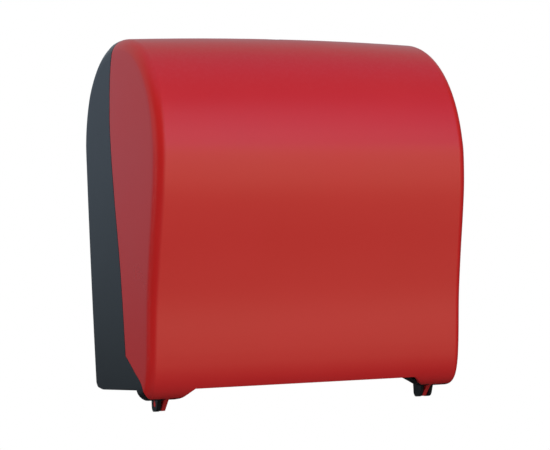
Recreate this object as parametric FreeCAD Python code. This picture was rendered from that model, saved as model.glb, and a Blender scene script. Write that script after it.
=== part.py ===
import FreeCAD, Part
import math
import os

os.makedirs("parts", exist_ok=True)

# Every section below uses x to the right, e as the distance out from the wall and h as the height
# above the level of the cover's feet. The origin is the middle of the four wall screw holes.
screw_pattern_height = 200.0

# Overall form of the closed dispenser
width_at_wall = 338.4
side_bulge = 1.1
side_taper = 0.0256
depth = 220.7
height = 361.3
crown = 3.3
shoulder_height = 260.3
shoulder_exponent = 1.78
brow_height = 230.7
brow_exponent = 2.17
ridge_depth = 87.8
lip_depth = 179.4
lip_height = 40.0
lip_slope = 10.5
lip_pull = 0.72
sole_pull = 0.68
sole_front = 151.3
front_line = [(depth, brow_height), (216.6, 200.0), (209.1, 170.0), (197.7, 130.0), (187.8, 90.0),
              (182.0, 55.0), (lip_depth, lip_height)]
foot_level = -1.7
floor_front = 8.8
floor_top = 13.9
heel = [(22.0, 10.7), (4.6, 13.6), (0.0, 19.2)]
heel_radii = [60.0, 9.0, 9.0]
corner_radius = 7.9
corner_growth = 0.0113
foot_corner = 6.0
corner_turn = 74.0
corner_at_wall = 0.2
back_margin = 0.5
wall = 2.8

# Hinge of the cover, under the two toes of the case
hinge_e = 134.0
hinge_h = -5.5
toe_back = 135.2
toe_sole = 145.4
toe_front = 157.0
toe_side = 117.5
floor_edge = 119.0
ear_inner = 136.7
ear_outer = 150.0
tab_inner = 140.2
tab_outer = 144.6
slot_inner = 139.7
slot_outer = 146.0

# Low arch under the cover and the toes, between the two feet
arch_rise = 9.3
arch_start = 118.5
arch_run = 16.0

# Cam lock in the top of the cover and its keeper under the top of the case
lock_e = 118.5
lock_low = 349.2
lock_radius = 12.0
keeper_screw_x = (27.0, 35.0)
keeper_screw_e = 74.0

# Wall screws, with the pattern centred on the origin
wall_screw_x = 85.0
wall_screw_rise = 58.0
wall_screw_radius = 2.75

# Axis of the paper roll, and the upright pins that its two arms swing on
roll_e = 110.0
roll_h = 246.5
arm_x = 115.0
arm_e = 14.0
arm_low = 238.0
arm_high = 267.0

# Cut-off drum between its side plates
drum_e = 106.0
drum_h = 76.0
drum_radius = 38.0
drum_skin = 37.2
drum_shell = 3.0
drum_length = 203.8
plate_inner = 112.0
plate_thickness = 4.0
module_screw_x = 105.0
module_screw_heights = (37.0, 103.0)
tie_places = ((32.0, 28.0), (32.0, 113.0))
tie_radius = 4.5

# Knife inside the drum; u runs out through the knife slot and v runs across it
slot_angle = -35.0
knife_u = 18.0
knife_v = -22.0
knife_length = 190.0
knife_teeth = 38
rivet_x = (-78.0, -39.0, 0.0, 39.0, 78.0)

# Pinch roller above the drum
pinch_radius = 9.5
pinch_angle = 102.0
nip_gap = 0.3
pinch_reach = drum_radius + pinch_radius + nip_gap
pinch_e = drum_e + pinch_reach * math.cos(math.radians(pinch_angle))
pinch_h = drum_h + pinch_reach * math.sin(math.radians(pinch_angle))


into_wall = FreeCAD.Vector(0, 1, 0)
upward = FreeCAD.Vector(0, 0, 1)
rightward = FreeCAD.Vector(1, 0, 0)


def point(x, e, h):
    return FreeCAD.Vector(x, -e, h - screw_pattern_height)


def save(name, shape):
    shape.exportStep("parts/" + name + ".step")


def fuse(shapes):
    body = shapes[0]
    for other in shapes[1:]:
        body = body.fuse(other)
    return body.removeSplitter()


def box(x0, x1, e0, e1, h0, h1):
    low = point(x0, e1, h0)
    return Part.makeBox(x1 - x0, e1 - e0, h1 - h0, low)


def rod(radius, x0, x1, e, h):
    return Part.makeCylinder(radius, x1 - x0, point(x0, e, h), FreeCAD.Vector(1, 0, 0))


# The same span on the left (side -1) or on the right (side 1), given by its distances from the middle
def span(side, near, far):
    return sorted((side * near, side * far))


def tube(outer, inner, x0, x1, e, h):
    return rod(outer, x0, x1, e, h).cut(rod(inner, x0 - 1, x1 + 1, e, h))


# Screw with a cross slot in its rounded head; the point given is the seat under the head
def screw(radius, length, head_radius, head_height, x, e, h, direction):
    shank = Part.makeCylinder(radius, length, point(x, e, h), direction)
    back = direction * -head_height
    head = Part.makeCylinder(head_radius, head_height, point(x, e, h) + back, direction)
    head = head.makeFillet(head_height * 0.4, [head.Edges[2]])
    depth_of_slot = head_height * 0.5
    slot_start = point(x, e, h) + back
    cross = direction.cross(FreeCAD.Vector(0.36, 0.48, 0.8)).normalize()
    other = direction.cross(cross)
    for a, b in ((cross, other), (other, cross)):
        corner = slot_start - a * head_radius * 0.6 - b * head_radius * 0.14 - direction * 0.1
        p1 = corner + a * head_radius * 1.2
        p2 = p1 + b * head_radius * 0.28
        p3 = corner + b * head_radius * 0.28
        face = Part.Face(Part.makePolygon([corner, p1, p2, p3, corner]))
        head = head.cut(face.extrude(direction * (depth_of_slot + 0.1)))
    return shank.fuse(head)


# Flat plates lying across x, from corner points given as (e, h)
def plate(points, x0, x1):
    wire = Part.makePolygon([point(x0, e, h) for e, h in points + [points[0]]])
    return Part.Face(wire).extrude(FreeCAD.Vector(x1 - x0, 0, 0))


def rounded_plate(points, radii, x0, x1):
    edges = []
    count = len(points)
    corners = []
    for i in range(count):
        here = point(x0, *points[i])
        before = point(x0, *points[i - 1]) - here
        after = point(x0, *points[(i + 1) % count]) - here
        turn = before.getAngle(after)
        reach = radii[i] / math.tan(turn / 2) if radii[i] > 0 else 0.0
        start = here + before.normalize() * reach
        stop = here + after.normalize() * reach
        middle = None
        if reach > 0:
            bisector = (before + after).normalize()
            middle = here + bisector * (radii[i] / math.sin(turn / 2) - radii[i])
        corners.append((start, middle, stop))
    for i in range(count):
        start, middle, stop = corners[i]
        if middle is not None:
            edges.append(Part.Arc(start, middle, stop).toShape())
        following = corners[(i + 1) % count][0]
        if stop.distanceToPoint(following) > 0.001:
            edges.append(Part.LineSegment(stop, following).toShape())
    return Part.Face(Part.Wire(edges)).extrude(FreeCAD.Vector(x1 - x0, 0, 0))


# Part of a curved wall about an axis along x, between two angles
def arc_band(radius, thickness, a0, a1, x0, x1, e, h):
    def on(r, a):
        return point(x0, e + r * math.cos(math.radians(a)), h + r * math.sin(math.radians(a)))
    mid = (a0 + a1) / 2
    outer = Part.Arc(on(radius, a0), on(radius, mid), on(radius, a1)).toShape()
    low = radius - thickness
    inner = Part.Arc(on(low, a1), on(low, mid), on(low, a0)).toShape()
    first = Part.LineSegment(on(radius, a1), on(low, a1)).toShape()
    last = Part.LineSegment(on(low, a0), on(radius, a0)).toShape()
    return Part.Face(Part.Wire([outer, first, inner, last])).extrude(FreeCAD.Vector(x1 - x0, 0, 0))


# Wire spring, from its start along its direction
def coil(radius, wire, pitch, length, start, direction):
    path = Part.makeHelix(pitch, length, radius)
    ring = Part.Wire(Part.makeCircle(wire / 2, FreeCAD.Vector(radius, 0, 0), FreeCAD.Vector(0, 1, 0)))
    solid = Part.Wire(path.Edges).makePipeShell([ring], True, False)
    turn = FreeCAD.Rotation(FreeCAD.Vector(0, 0, 1), direction)
    solid.Placement = FreeCAD.Placement(start, turn)
    return solid


# Side outline, as rows of points from the wall over the top, down the front and along the underside
def side_outline():
    over = [(-back_margin, h) for h in (6.0, 40.0, 110.0, 190.0, 235.0)]
    for i in range(13):
        t = math.radians(90.0 * i / 12)
        e = (ridge_depth + back_margin) * (1 - math.cos(t) ** (2 / shoulder_exponent)) - back_margin
        h = shoulder_height + (height - shoulder_height) * math.sin(t) ** (2 / shoulder_exponent)
        over.append((e, h))
    for i in range(1, 14):
        t = math.radians(90.0 - 90.0 * i / 14)
        e = ridge_depth + (depth - ridge_depth) * math.cos(t) ** (2 / brow_exponent)
        h = brow_height + (height - brow_height) * math.sin(t) ** (2 / brow_exponent)
        over.append((e, h))
    over.extend(front_line)
    lip = FreeCAD.Vector(lip_depth, lip_height, 0)
    sole = FreeCAD.Vector(sole_front, foot_level, 0)
    drop = lip_height - foot_level
    corner = FreeCAD.Vector(lip_depth - drop * math.tan(math.radians(lip_slope)), foot_level, 0)
    bend = Part.BezierCurve()
    bend.setPoles([lip, lip + (corner - lip) * lip_pull, sole + (corner - sole) * sole_pull, sole])
    curl = [over[-1]]
    for i in range(1, 7):
        p = bend.value(i / 6)
        curl.append((p.x, p.y))
    under = [curl[-1], (110.0, foot_level), (60.0, foot_level), (8.0, foot_level)]
    heel = [under[-1], (3.4, foot_level + 1.0), (0.5, foot_level + 3.8), (-back_margin, 6.0)]
    return [over, curl, under, heel]


# Radius of the corner between the front and the sides, small near the wall and larger higher up
def corner_at(row, e, h):
    if row == 3:
        return 1.5
    full = foot_corner if row == 2 else corner_radius + corner_growth * h
    return full * min(max((e - 5.0) / 70.0, corner_at_wall), 1.0)


# One closed section of the body. A "flat" one lies a fraction of the width out from the middle and a
# "corner" one part of the way round the corner. The inset is the thickness of the wall.
def section(inset, place, x_sign):
    rows = side_outline()
    flat = []
    for r, row in enumerate(rows):
        for i, p in enumerate(row):
            if i or r == 0:
                flat.append((r, p))
    flat[-1] = (0, flat[-1][1])
    count = len(flat) - 1
    moved = []
    for i in range(count):
        before = flat[i - 1 if i else count - 1][1]
        after = flat[i + 1][1]
        de = after[0] - before[0]
        dh = after[1] - before[1]
        size = math.hypot(de, dh)
        normal = (-dh / size, de / size)
        r, (e, h) = flat[i]
        rounding = max(corner_at(r, e, h) - inset * 0.8, 0.6)
        kind, amount = place
        if kind == "corner":
            a = math.radians(corner_turn * amount)
            drop = rounding * (1 - math.cos(a)) / (1 - math.cos(math.radians(corner_turn)))
            fraction = math.sin(a) / math.sin(math.radians(corner_turn))
        else:
            drop = 0.0
            fraction = 0.0
        ee = e - normal[0] * (inset + drop)
        hh = h - normal[1] * (inset + drop)
        bulge = side_bulge * (2 * hh / height - 1) ** 2
        reach = width_at_wall / 2 - bulge - side_taper * ee * hh / height
        side = reach - inset - rounding * (1 - fraction)
        if kind == "flat":
            rise = crown * (1 - amount * amount) * min(max((hh - shoulder_height) / 91.0, 0.0), 1.0)
            hh = hh + rise
            side = side * amount
        moved.append(point(x_sign * side, ee, hh))
    moved.append(moved[0])
    edges = []
    start = 0
    for row in rows:
        stop = start + len(row) - 1
        curve = Part.BSplineCurve()
        curve.interpolate(moved[start:stop + 1])
        edges.append(curve.toShape())
        start = stop
    return Part.Wire(edges)


# Whole body as one solid: two rounded corners, the front between them and the two slightly bulged sides
def body(inset):
    corner = [("corner", a) for a in (1.0, 0.75, 0.5, 0.25, 0.0)]
    left = [section(inset, place, -1) for place in corner]
    right = [section(inset, place, 1) for place in corner]
    middle = section(inset, ("flat", 0.0), 1)
    skins = [Part.makeLoft(left, False, False), Part.makeLoft(right, False, False),
             Part.makeLoft([left[-1], middle, right[-1]], False, False)]
    faces = [face for skin in skins for face in skin.Faces]
    faces = faces + [Part.makeFilledFace(left[0].Edges), Part.makeFilledFace(right[0].Edges)]
    shell = Part.makeCompound(faces)
    shell.sewShape(0.01)
    solid = Part.Solid(shell.Shells[0])
    if solid.Volume < 0:
        solid.reverse()
    return solid


# Line where the cover meets the case, from above the top down to the underside of the foot
def parting_edges(shift):
    upper = [(118.0, 392.0), (109.5, 376.0), (103.0, 362.5), (97.2, 351.6), (89.3, 333.3), (84.5, 305.4),
             (82.2, 273.3), (84.4, 240.4), (90.2, 194.5), (98.4, 140.1), (102.8, 89.0), (104.9, 43.1)]
    lower = [upper[-1], (131.4, 26.6), (147.2, 17.1), (152.8, 11.5), (toe_front, 4.9), (toe_front, -3.0)]
    top = Part.BSplineCurve()
    top.interpolate([point(-200, e + shift, h) for e, h in upper])
    low = Part.BSplineCurve()
    low.interpolate([point(-200, e + shift, h) for e, h in lower])
    return [top.toShape(), low.toShape()]


# Everything on the case's side of that line
def case_zone(shift):
    edges = parting_edges(shift)
    corners = [point(-200, toe_front + shift, -3), point(-200, toe_front + shift, -40), point(-200, -40, -40),
               point(-200, -40, 392), point(-200, 118 + shift, 392)]
    for a, b in zip(corners[:-1], corners[1:]):
        edges.append(Part.LineSegment(a, b).toShape())
    return Part.Face(Part.Wire(edges)).extrude(FreeCAD.Vector(400, 0, 0))


# Low arch between the feet, cut through the cover and through the toes of the case behind it
def arch(e0, e1):
    foot = arch_start + arch_run
    left = [(-foot, foot_level), (-arch_start - arch_run * 0.68, foot_level + arch_rise * 0.14),
            (-arch_start - arch_run * 0.34, foot_level + arch_rise * 0.58),
            (-arch_start, foot_level + arch_rise)]
    low = Part.BSplineCurve()
    low.interpolate([point(x, e1, h) for x, h in left])
    high = Part.BSplineCurve()
    high.interpolate([point(-x, e1, h) for x, h in reversed(left)])
    ends = [point(left[-1][0], e1, left[-1][1]), point(-left[-1][0], e1, left[-1][1])]
    bottom = [point(foot, e1, foot_level), point(foot, e1, -60), point(-foot, e1, -60),
              point(-foot, e1, foot_level)]
    edges = [low.toShape(), Part.LineSegment(ends[0], ends[1]).toShape(), high.toShape()]
    for a, b in zip(bottom[:-1], bottom[1:]):
        edges.append(Part.LineSegment(a, b).toShape())
    return Part.Face(Part.Wire(edges)).extrude(FreeCAD.Vector(0, e1 - e0, 0))


# Rear case: one moulding with the wall plate, the side walls, the toes, the ears and all the bosses
def rear_case(outer, inner):
    below = foot_level - 0.1
    around = [(toe_back, floor_front)] + heel
    around = around + [(0, 420), (-20, 420), (-20, -40), (170, -40), (170, below), (toe_sole, below)]
    relief = rounded_plate(around, [0] + heel_radii + [0, 0, 0, 0, 0, 4.0], -200, 200)
    hollow = inner.cut(box(-200, 200, -5, floor_edge, -40, floor_top))
    hollow = hollow.cut(plate([(-5, 10), (heel[0][0], 10), (heel[0][0], floor_top - 0.2),
                               (heel[1][0] + 2.0, heel[1][1] + wall), (heel[2][0] + 2.3, heel[2][1] + 2.5),
                               (-5, heel[2][1] + 2.5)], -200, 200))
    for side in (-1, 1):
        hollow = hollow.cut(box(*span(side, toe_side, 200), floor_edge - 1, 180, -40, floor_top))
    case = outer.common(case_zone(0.0)).cut(hollow).cut(relief)
    case = case.cut(box(-toe_side, toe_side, floor_edge, 200, -40, 60))
    parts = [case]
    ears = [(-ear_outer, -slot_outer), (ear_inner, slot_inner), (slot_outer, ear_outer)]
    outline = [(125.2, 12.0), (125.2, -12.9), (139.5, -12.9), (144.9, -2.0), (144.9, 12.0)]
    for x0, x1 in ears:
        parts.append(rounded_plate(outline, [0, 5.0, 7.0, 0, 0], x0, x1))
    for side in (-1, 1):
        for rise in (wall_screw_rise, -wall_screw_rise):
            seat = point(side * wall_screw_x, 7.0, screw_pattern_height + rise)
            parts.append(Part.makeCylinder(8.0, 5.0, seat, into_wall))
        for h in module_screw_heights:
            parts.append(Part.makeCylinder(5.5, 14.0, point(side * module_screw_x, 16.0, h), into_wall))
        parts.append(box(side * 60 - 1.2, side * 60 + 1.2, 2.0, 8.0, 40, 264))
        for h0 in (arm_low - 7.4, arm_high + 0.4):
            knuckle = Part.makeCylinder(6.0, 7.0, point(side * arm_x, arm_e, h0))
            parts.append(knuckle.fuse(box(side * arm_x - 6, side * arm_x + 6, 2.0, arm_e, h0, h0 + 7)))
    case = fuse(parts).cut(arch(toe_back - 1, 200))
    for side in (-1, 1):
        case = case.cut(box(*span(side, slot_inner, slot_outer), 124.4, 165, -20, 6.5))
        case = case.cut(rod(3.06, *span(side, slot_outer - 1, 152), hinge_e, hinge_h))
        for rise in (wall_screw_rise, -wall_screw_rise):
            h = screw_pattern_height + rise
            start = point(side * wall_screw_x, 12.0, h)
            case = case.cut(Part.makeCylinder(wall_screw_radius, 20, start, into_wall))
            seat = point(side * wall_screw_x, 7.01, h)
            case = case.cut(Part.makeCone(5.2, wall_screw_radius, 2.6, seat, into_wall))
        for h in module_screw_heights:
            case = case.cut(Part.makeCylinder(1.9, 11, point(side * module_screw_x, 16.1, h), into_wall))
        case = case.cut(Part.makeCylinder(2.5, 60, point(side * arm_x, arm_e, arm_low - 12)))
    for x in keeper_screw_x:
        case = case.cut(Part.makeCylinder(1.6, 18.0, point(x, keeper_screw_e, 345)))
    return case


# Front cover: red shell with its feet, the hinge tabs with moulded stub pins and the lock boss
def front_cover(outer, inner):
    cover = outer.cut(case_zone(0.8)).cut(inner)
    cover = cover.cut(arch(60, 260))
    tabs = []
    for side in (-1, 1):
        outline = [(127.8, 1.6), (127.8, -12.5), (137.4, -12.5), (150.4, -1.4), (159.0, 0.1), (163.0, 2.6),
                   (163.0, 5.4), (146.0, 5.4), (143.6, 1.6)]
        tab = rounded_plate(outline, [4, 4, 2, 0, 0, 0, 1.5, 1, 0], *span(side, tab_inner, tab_outer))
        tabs.append(tab.fuse(rod(3.0, *span(side, tab_inner + 1, ear_outer - 0.2), hinge_e, hinge_h)))
    cover = fuse([cover] + tabs)
    boss = Part.makeCylinder(lock_radius + 2.0, 30, point(0, lock_e, lock_low)).common(outer)
    cover = cover.fuse(boss).cut(Part.makeCylinder(lock_radius, 40, point(0, lock_e, lock_low - 5)))
    return cover.removeSplitter()


# Cam lock in the top of the cover
def lock_parts(outer):
    housing = Part.makeCylinder(lock_radius, 30, point(0, lock_e, lock_low)).common(outer)
    housing = housing.cut(Part.makeCylinder(9.05, 40, point(0, lock_e, lock_low - 5)))
    barrel = Part.makeCylinder(9.0, 8.8, point(0, lock_e, lock_low))
    rim = [edge for edge in barrel.Edges if edge.BoundBox.ZMin > barrel.BoundBox.ZMax - 0.1]
    barrel = barrel.makeFillet(0.5, rim)
    barrel = barrel.cut(box(-1.3, 1.3, lock_e - 4.5, lock_e + 4.5, 353.5, 360))
    tongue = box(-5, 5, lock_e - 25, lock_e + 6, lock_low - 3.0, lock_low)
    tongue = tongue.makeFillet(3.0, [edge for edge in tongue.Edges if edge.BoundBox.ZLength > 2])
    screw_head = Part.makeCylinder(4.0, 1.6, point(0, lock_e, lock_low - 4.6)).fuse(
        Part.makeCylinder(1.8, 9.0, point(0, lock_e, lock_low - 3.0)))
    barrel = barrel.cut(Part.makeCylinder(1.8, 7.0, point(0, lock_e, lock_low - 1.0)))
    tongue = tongue.cut(Part.makeCylinder(1.8, 7.0, point(0, lock_e, lock_low - 4.0)))
    save("lock_housing", housing)
    save("lock_barrel", barrel)
    save("lock_tongue", tongue)
    save("lock_screw", screw_head)


# Steel keeper under the top of the case, with a hook that the turned tongue goes behind
def keeper_parts(outer, inner):
    foot = box(22, 40, 64, 96, lock_low - 3.6, 366).common(inner).cut(box(20, 42, 60, 100, 360.5, 380))
    arm = box(28, 34, 90, lock_e + 11, lock_low - 3.6, lock_low + 0.6)
    hook = box(13, 34, lock_e + 7, lock_e + 11, lock_low - 3.6, lock_low + 0.6)
    keeper = fuse([foot, arm, hook])
    screws = []
    for x in keeper_screw_x:
        keeper = keeper.cut(Part.makeCylinder(1.6, 30, point(x, keeper_screw_e, 340)))
        screws.append(screw(1.6, 15.5, 3.2, 1.8, x, keeper_screw_e, lock_low - 3.6, upward))
    save("lock_keeper", keeper)
    save("keeper_screws", Part.makeCompound(screws))


# Sprung arms that carry the two spinning hubs of the paper roll
def roll_arm(side):
    outline = [(22, 237), (22, 257), (100, 262), (122, roll_h + 8), (122, roll_h - 8), (100, 231)]
    strip = rounded_plate(outline, [3, 3, 12, 8, 8, 12], *span(side, 109, 113))
    disc = rod(15.5, *span(side, 109, 113), roll_e, roll_h)
    knuckle = Part.makeCylinder(6.0, arm_high - arm_low, point(side * arm_x, arm_e, arm_low))
    root = box(*span(side, 109, 115), arm_e, 26, arm_low, arm_high)
    arm = fuse([strip, disc, knuckle, root])
    gap_low = (arm_low + arm_high) / 2 - 5
    arm = arm.cut(box(side * arm_x - 9, side * arm_x + 9, arm_e - 9, arm_e + 6.5, gap_low, gap_low + 10))
    arm = arm.cut(Part.makeCylinder(2.56, 80, point(side * arm_x, arm_e, arm_low - 20)))
    return arm.cut(rod(4.0, *span(side, 105, 117), roll_e, roll_h))


# Hub with a flange and a ribbed taper plug for the core of the roll
def roll_hub(side):
    flange = rod(26.0, 105.2, 108.2, roll_e, roll_h)
    flange = flange.makeFillet(1.2, [flange.Edges[0], flange.Edges[2]])
    plug = Part.makeCone(17.2, 18.6, 17.4, point(88.0, roll_e, roll_h), rightward)
    hub = flange.fuse(plug)
    hub = hub.cut(rod(14.5, 80, 98.0, roll_e, roll_h))
    for i in range(6):
        rib = box(88.5, 98.5, roll_e - 0.9, roll_e + 0.9, roll_h + 8.5, roll_h + 15.0)
        rib.rotate(point(90, roll_e, roll_h), rightward, 60 * i)
        hub = hub.fuse(rib)
    hub = hub.removeSplitter().cut(rod(4.06, 80, 120, roll_e, roll_h))
    if side < 0:
        hub = hub.mirror(point(0, 0, 0), rightward)
    return hub


# Shouldered pin that the hub turns on, headed over at both ends
def hub_axle(side):
    pin = rod(4.0, 97.6, 113.0, roll_e, roll_h).fuse(rod(7.0, 95.0, 97.6, roll_e, roll_h))
    pin = pin.fuse(rod(7.0, 113.0, 115.0, roll_e, roll_h)).removeSplitter()
    if side < 0:
        pin = pin.mirror(point(0, 0, 0), rightward)
    return pin


# Both arms with their hubs, axles, upright pins and springs
def roll_parts():
    pins = []
    springs = []
    for side, name in ((-1, "left"), (1, "right")):
        save("roll_arm_" + name, roll_arm(side))
        save("roll_hub_" + name, roll_hub(side))
        save("hub_axle_" + name, hub_axle(side))
        pin = Part.makeCylinder(2.5, arm_high - arm_low + 15.6, point(side * arm_x, arm_e, arm_low - 7.8))
        pins.append(pin.fuse(Part.makeCylinder(4.0, 1.6, point(side * arm_x, arm_e, arm_high + 7.8))))
        low = (arm_low + arm_high) / 2 - 4.2
        springs.append(coil(3.9, 0.9, 1.3, 8.4, point(side * arm_x, arm_e, low), upward))
    save("arm_pins", Part.makeCompound(pins))
    save("arm_spring_left", springs[0])
    save("arm_spring_right", springs[1])


# Turn a shape drawn upright above the pinch roller into the direction that the roller lifts in
def pinch_turn(shape):
    shape.rotate(point(0, pinch_e, pinch_h), rightward, 90 - pinch_angle)
    return shape


# Side plate with the seat of the drum's bush, the slot of the pinch roller's block and two feet
def side_plate(side):
    outline = [(16, 16), (16, 120), (58, 147), (114, 147), (152, 120), (162, 84), (162, 34), (153, 15)]
    plate_outer = plate_inner + plate_thickness
    parts = [rounded_plate(outline, [4, 10, 12, 14, 16, 18, 14, 5], plate_inner, plate_outer)]
    for h in module_screw_heights:
        parts.append(box(98, plate_inner + 1, 16, 19, h - 12, h + 12))
    parts.append(rod(13.0, plate_outer - 1, plate_outer + 2, drum_e, drum_h))
    shape = fuse(parts)
    shape = shape.cut(rod(9.0, 100, 130, drum_e, drum_h))
    slot = box(100, 130, pinch_e - 6.2, pinch_e + 6.2, pinch_h - 7.3, pinch_h + 20)
    shape = shape.cut(pinch_turn(slot))
    shape = shape.cut(rounded_plate([(36, 62), (36, 92), (52, 100), (52, 56)], [4, 4, 4, 4], 105, 125))
    for h in module_screw_heights:
        shape = shape.cut(Part.makeCylinder(1.9, 30, point(module_screw_x, 30, h), into_wall))
    for e, h in tie_places:
        shape = shape.cut(rod(2.0, 100, 130, e, h))
    if side < 0:
        shape = shape.mirror(point(0, 0, 0), rightward)
    return shape


# Paper guides in front of, behind and under the drum
def guide_parts():
    guard = arc_band(52.5, 2.4, -36, 66, -plate_inner, plate_inner, drum_e, drum_h)
    a = math.radians(-36)
    top_out = (drum_e + 52.5 * math.cos(a), drum_h + 52.5 * math.sin(a))
    top_in = (drum_e + 50.1 * math.cos(a), drum_h + 50.1 * math.sin(a))
    tongue = [top_out, (155.0, 13.0), (152.6, 13.0), top_in]
    save("front_guard", fuse([guard, plate(tongue, -plate_inner, plate_inner)]))
    save("rear_guide", arc_band(52.0, 2.2, 128, 240, -plate_inner, plate_inner, drum_e, drum_h))
    outline = [(92, 24), (92, 26.5), (129, 30.5), (141.5, 13.5), (139, 13), (127.5, 27.6)]
    chute = rounded_plate(outline, [0, 0, 3, 0, 0, 2], -plate_inner, plate_inner)
    rib = [(96, 24.5), (127.0, 27.8), (134, 18.5), (120, 15.0), (96, 15.0)]
    for i in range(9):
        x = -96 + 24 * i
        chute = chute.fuse(plate(rib, x - 0.8, x + 0.8))
    save("lower_chute", chute.removeSplitter())


# Tie bars, screws, drum bushes and the fixed cam of the knife
def module_parts():
    save("side_plate_left", side_plate(-1))
    save("side_plate_right", side_plate(1))
    bars = []
    screws = []
    for e, h in tie_places:
        bar = rod(tie_radius, -plate_inner, plate_inner, e, h)
        for side in (-1, 1):
            bar = bar.cut(rod(2.0, *span(side, 100, 113), e, h))
            seat = side * (plate_inner + plate_thickness)
            screws.append(screw(2.0, 11.0, 4.0, 2.2, seat, e, h, rightward * -side))
        bars.append(bar)
    save("tie_bars", Part.makeCompound(bars))
    for side in (-1, 1):
        for h in module_screw_heights:
            screws.append(screw(1.9, 12.0, 3.8, 2.2, side * module_screw_x, 19, h, into_wall))
    save("module_screws", Part.makeCompound(screws))
    bushes = []
    for side in (-1, 1):
        sleeve = tube(9.0, 6.06, 111.0, 118.0, drum_e, drum_h)
        bush = sleeve.fuse(tube(11.5, 6.06, 109.4, plate_inner, drum_e, drum_h))
        if side < 0:
            bush = bush.mirror(point(0, 0, 0), rightward)
        bushes.append(bush.removeSplitter())
    save("drum_bushes", Part.makeCompound(bushes))
    save("knife_cam", arc_band(42.0, 13.0, -120, 60, -plate_inner, 1.8 - plate_inner, drum_e, drum_h))


# Position in the drum's own directions u and v
def drum_point(u, v):
    a = math.radians(slot_angle)
    return drum_e + u * math.cos(a) - v * math.sin(a), drum_h + u * math.sin(a) + v * math.cos(a)


def local_plate(points, x0, x1):
    return plate([drum_point(u, v) for u, v in points], x0, x1)


def local_rod(radius, x0, x1, u, v):
    e, h = drum_point(u, v)
    return rod(radius, x0, x1, e, h)


# Two half shells with rubber grip rings let into them, on end discs held by two ties
def drum_parts():
    half = drum_length / 2
    seam = slot_angle + 180
    grips = []
    grooved = drum_radius - 1.5
    front = []
    rear = []
    previous = -half
    for i in range(7):
        x = -87.5 + 35 * i
        end = x - 7 if i < 6 else half
        lands = [(drum_skin, previous, end)]
        if i < 6:
            lands.append((grooved, x - 7, x + 7))
            grips.append(arc_band(drum_radius, 1.5, slot_angle + 16, seam - 1, x - 7, x + 7, drum_e, drum_h))
            grips.append(arc_band(drum_radius, 1.5, seam + 1, slot_angle + 349, x - 7, x + 7, drum_e, drum_h))
        for radius, x0, x1 in lands:
            thick = radius - drum_skin + drum_shell
            front.append(arc_band(radius, thick, slot_angle + 14, seam - 0.2, x0, x1, drum_e, drum_h))
            rear.append(arc_band(radius, thick, seam + 0.2, slot_angle + 351, x0, x1, drum_e, drum_h))
        previous = x + 7
    save("drum_shell_front", fuse(front))
    save("drum_shell_rear", fuse(rear))
    save("drum_grips", Part.makeCompound(grips))
    for side, name in ((-1, "left"), (1, "right")):
        disc = rod(drum_skin, *span(side, half, 105), drum_e, drum_h)
        boss = rod(10.0, *span(side, 92, 102), drum_e, drum_h)
        end = 133.5 if side < 0 else 127.0
        axle = rod(6.0, *span(side, 104, end), drum_e, drum_h)
        disc = fuse([disc, boss, axle])
        for v in (-11.0, 11.0):
            disc = disc.cut(local_rod(2.0, -130, 130, -24.0, v))
        disc = disc.cut(local_rod(2.56, -130, 130, knife_u, knife_v))
        save("drum_end_" + name, disc)
    ties = []
    screws = []
    for v in (-11.0, 11.0):
        tie = local_rod(4.0, -half, half, -24.0, v).cut(local_rod(2.0, -130, -90, -24.0, v))
        ties.append(tie.cut(local_rod(2.0, 90, 130, -24.0, v)))
        for side in (-1, 1):
            e, h = drum_point(-24.0, v)
            screws.append(screw(2.0, 11.0, 3.6, 1.8, side * 105, e, h, rightward * -side))
    save("drum_ties", Part.makeCompound(ties))
    save("drum_screws", Part.makeCompound(screws))


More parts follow.
